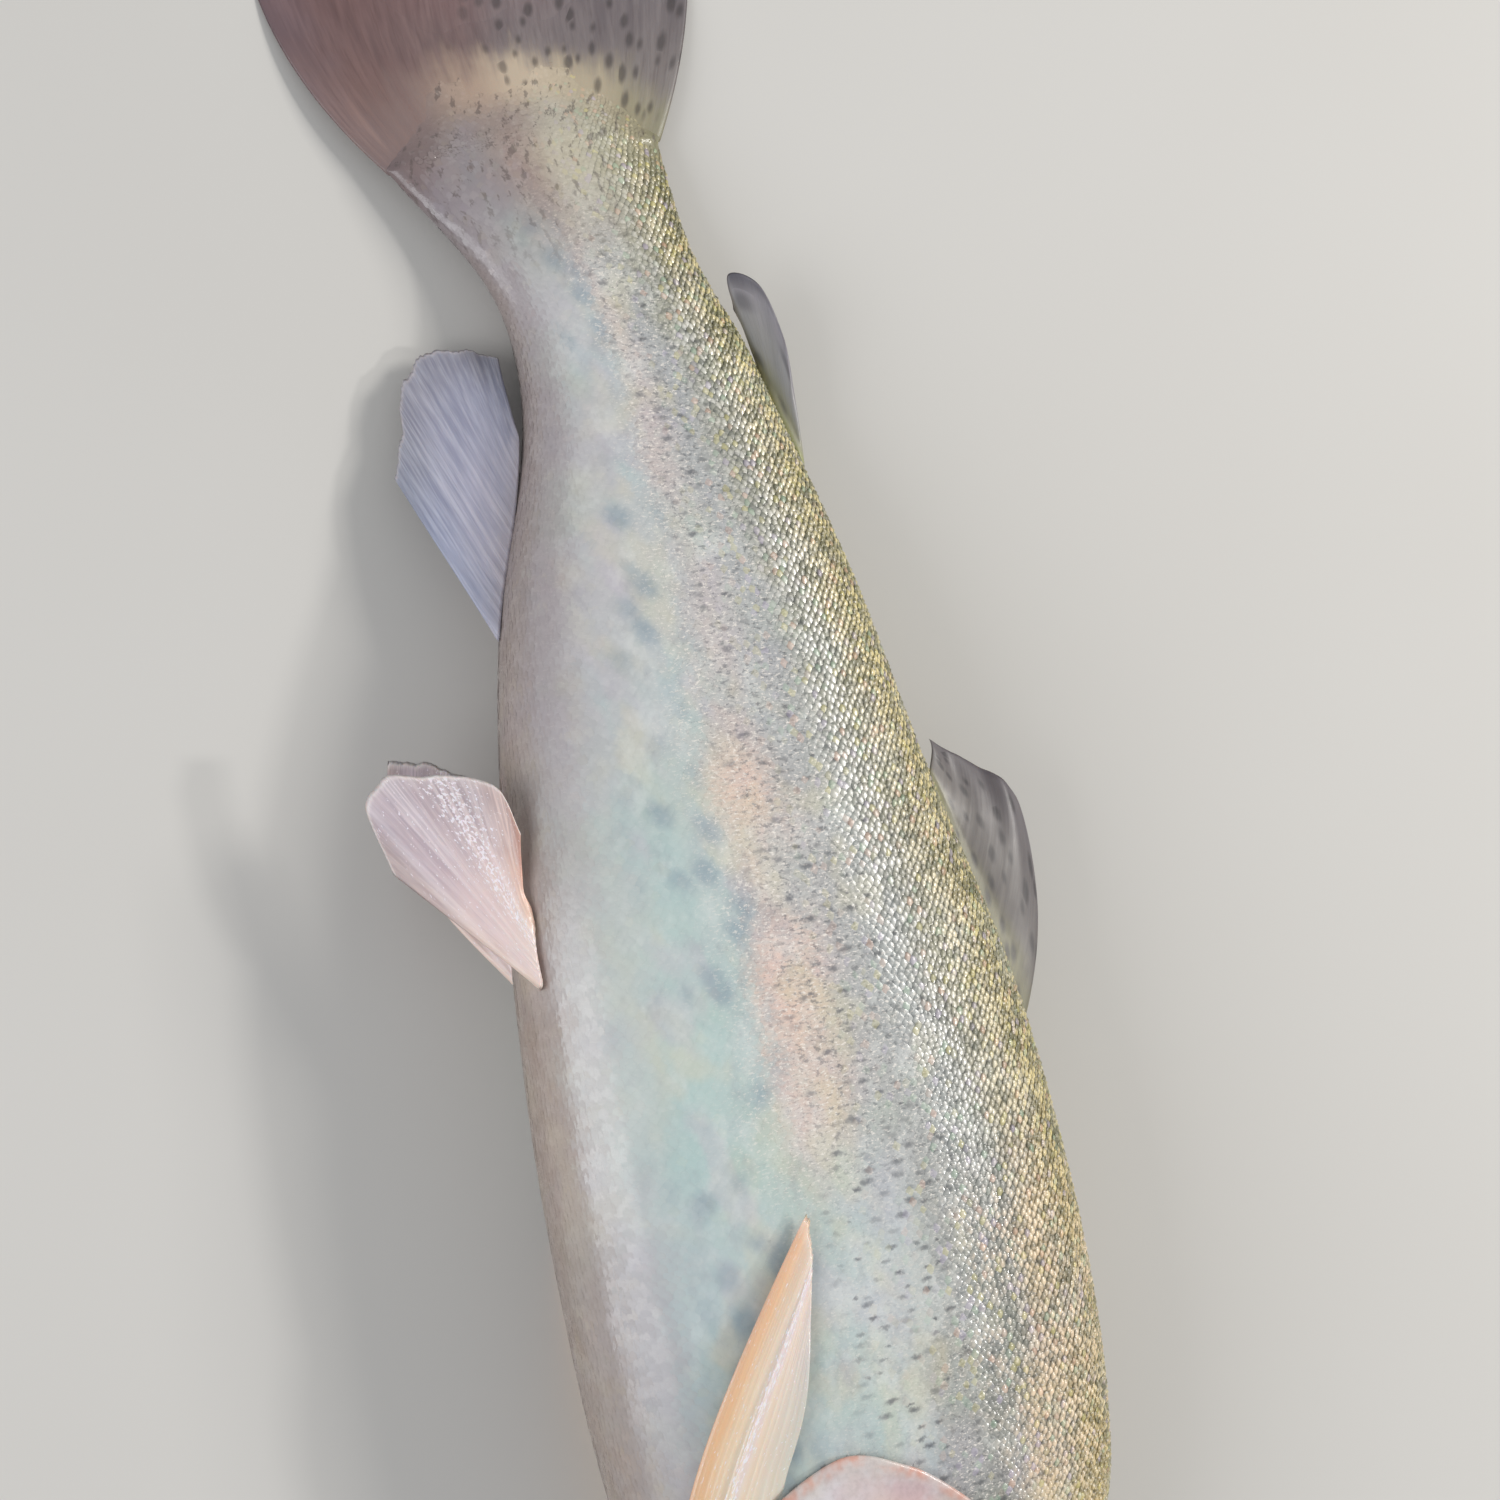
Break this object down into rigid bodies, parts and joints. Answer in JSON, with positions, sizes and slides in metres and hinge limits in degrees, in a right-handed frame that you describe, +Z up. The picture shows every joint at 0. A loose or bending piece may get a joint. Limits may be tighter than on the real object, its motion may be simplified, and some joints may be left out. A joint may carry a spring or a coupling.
{
  "type": "rainbow trout",
  "caption": "Whole rainbow trout as a still model, lying on its left side with the tail limp, fins part spread, right flank up.",
  "frame": {"origin": "middle of the fish's box, fins and all, at the level of the surface it lies on", "axes": "+X toward the snout, +Y toward the back, +Z up, out of the right flank"},
  "size_m": [0.3946, 0.1264, 0.0506],
  "materials": {
    "skin": "wet scaled skin, silver flank, olive back, pale belly, stands in for living skin",
    "fin": "wet grey-lilac fin skin with fine rays",
    "pale_fin": "wet pink and cream fin skin with an amber edge",
    "eye": "wet clear eye with a dark pupil and a gold-grey iris"
  },
  "bodies": {
    "root": {"head": "skin", "lower_jaw": "skin", "gill_cover_right": "skin", "gill_cover_left": "skin", "trunk_front": "skin", "trunk_rear": "skin", "tail_stalk": "skin", "eye_right": "eye", "eye_left": "eye", "dorsal_fin": "fin", "adipose_fin": "fin", "anal_fin": "fin", "caudal_fin": "fin", "pelvic_fin_right": "pale_fin", "pelvic_fin_left": "pale_fin", "pectoral_fin_right": "pale_fin", "pectoral_fin_left": "pale_fin"}
  },
  "joints": []
}
